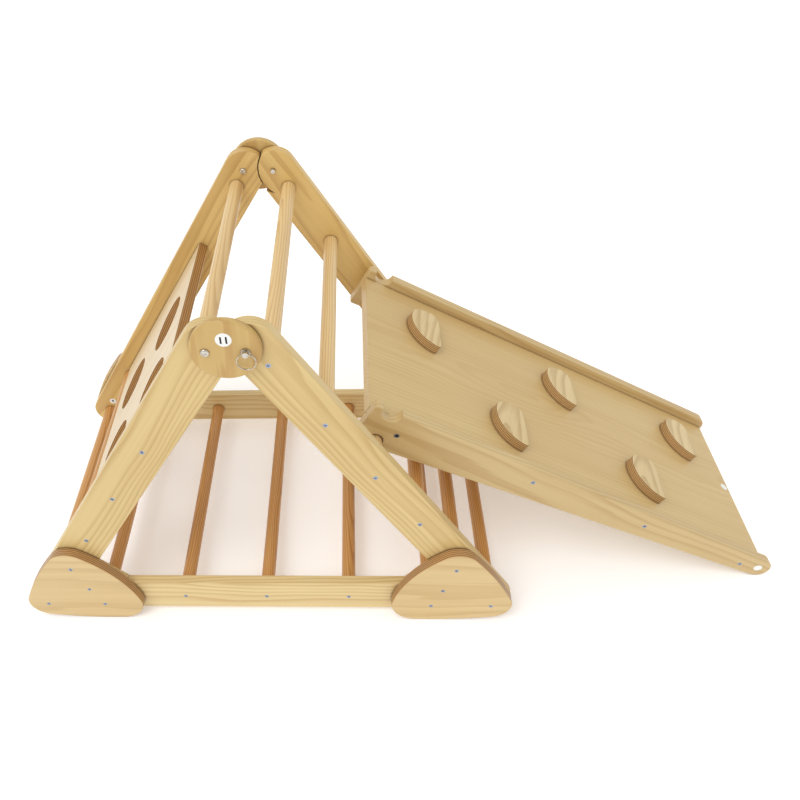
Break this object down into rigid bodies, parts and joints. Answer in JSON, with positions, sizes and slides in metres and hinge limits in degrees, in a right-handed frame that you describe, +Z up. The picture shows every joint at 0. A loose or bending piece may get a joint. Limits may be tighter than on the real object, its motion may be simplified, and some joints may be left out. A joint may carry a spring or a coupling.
{
  "type": "climbing triangle with hook-on ramp",
  "caption": "Wooden toddler climbing triangle: rung ladder on one side, panel with hand holes on the other, and a hook-on ramp with leaf-shaped climbing holds.",
  "frame": {"origin": "on the floor under the middle of the object's box", "axes": "+Z up; +X from the climbing panel towards the foot of the ramp, along the length; +Y to the far side, away from the side with the wider gap beside the ramp"},
  "size_m": [1.3719, 0.557, 0.6862],
  "materials": {
    "pine_board": "clear satin varnish on solid pine",
    "pine_panel": "clear satin varnish on jointed pine panel",
    "birch_plywood": "clear satin varnish, dark and light plies on the edges",
    "dowel": "clear satin varnish on turned hardwood",
    "bright_steel": "bright nickel plate",
    "zinc_steel": "zinc plate, slightly blue",
    "label": "matte white paper label"
  },
  "bodies": {
    "frame": {"apex_label": "label", "base_rung_1": "dowel", "base_rung_2": "dowel", "base_rung_3": "dowel", "base_rung_4": "dowel", "base_rung_5": "dowel", "far_apex_bolt": "bright_steel", "far_apex_cheek": "birch_plywood", "far_base_rail": "pine_board", "far_bolt_cap": "bright_steel", "far_left_foot_block": "pine_board", "far_left_gusset": "birch_plywood", "far_left_leg": "pine_board", "far_right_foot_block": "pine_board", "far_right_gusset": "birch_plywood", "far_right_leg": "pine_board", "foot_block_screws": "zinc_steel", "gusset_screws": "zinc_steel", "left_climbing_panel": "pine_panel", "left_foot_rung": "dowel", "left_lower_rung": "dowel", "left_top_rung": "dowel", "leg_label": "label", "near_apex_bolt": "bright_steel", "near_apex_cheek": "birch_plywood", "near_base_rail": "pine_board", "near_bolt_cap": "bright_steel", "near_left_foot_block": "pine_board", "near_left_gusset": "birch_plywood", "near_left_leg": "pine_board", "near_right_foot_block": "pine_board", "near_right_gusset": "birch_plywood", "near_right_leg": "pine_board", "right_rung_1": "dowel", "right_rung_2": "dowel", "right_rung_3": "dowel", "right_rung_4": "dowel", "right_rung_5": "dowel", "right_rung_6": "dowel", "side_board_screws": "zinc_steel"},
    "ramp": {"climbing_hold_1": "birch_plywood", "climbing_hold_2": "birch_plywood", "climbing_hold_3": "birch_plywood", "climbing_hold_4": "birch_plywood", "climbing_hold_5": "birch_plywood", "far_ramp_bushing": "zinc_steel", "far_ramp_rail": "pine_board", "hold_screws": "zinc_steel", "near_ramp_bushing": "zinc_steel", "near_ramp_rail": "pine_board", "ramp_labels": "label", "ramp_panel": "pine_panel", "ramp_screws": "zinc_steel"},
    "far_pull_pin": {"far_pull_pin": "bright_steel"},
    "far_pull_ring": {"far_pull_ring": "bright_steel"},
    "near_pull_pin": {"near_pull_pin": "bright_steel"},
    "near_pull_ring": {"near_pull_ring": "bright_steel"}
  },
  "joints": [
    {"name": "ramp_tilt", "type": "hinge", "parent": "frame", "child": "ramp", "pos_m": [-0.04939, 0, 0.37112], "axis": [0, -1, 0], "range_deg": [0, 50]},
    {"name": "near_pin_pull", "type": "slide", "parent": "frame", "child": "near_pull_pin", "axis": [0, -1, 0], "range_m": [0, 0.04]},
    {"name": "far_pin_pull", "type": "slide", "parent": "frame", "child": "far_pull_pin", "axis": [0, 1, 0], "range_m": [0, 0.04]},
    {"name": "near_ring_swing", "type": "hinge", "parent": "near_pull_pin", "child": "near_pull_ring", "pos_m": [-0.22175, -0.2755, 0.6358], "axis": [-1, 0, 0], "range_deg": [0, 170]},
    {"name": "far_ring_swing", "type": "hinge", "parent": "far_pull_pin", "child": "far_pull_ring", "pos_m": [-0.22175, 0.2755, 0.6358], "axis": [1, 0, 0], "range_deg": [0, 170]}
  ]
}
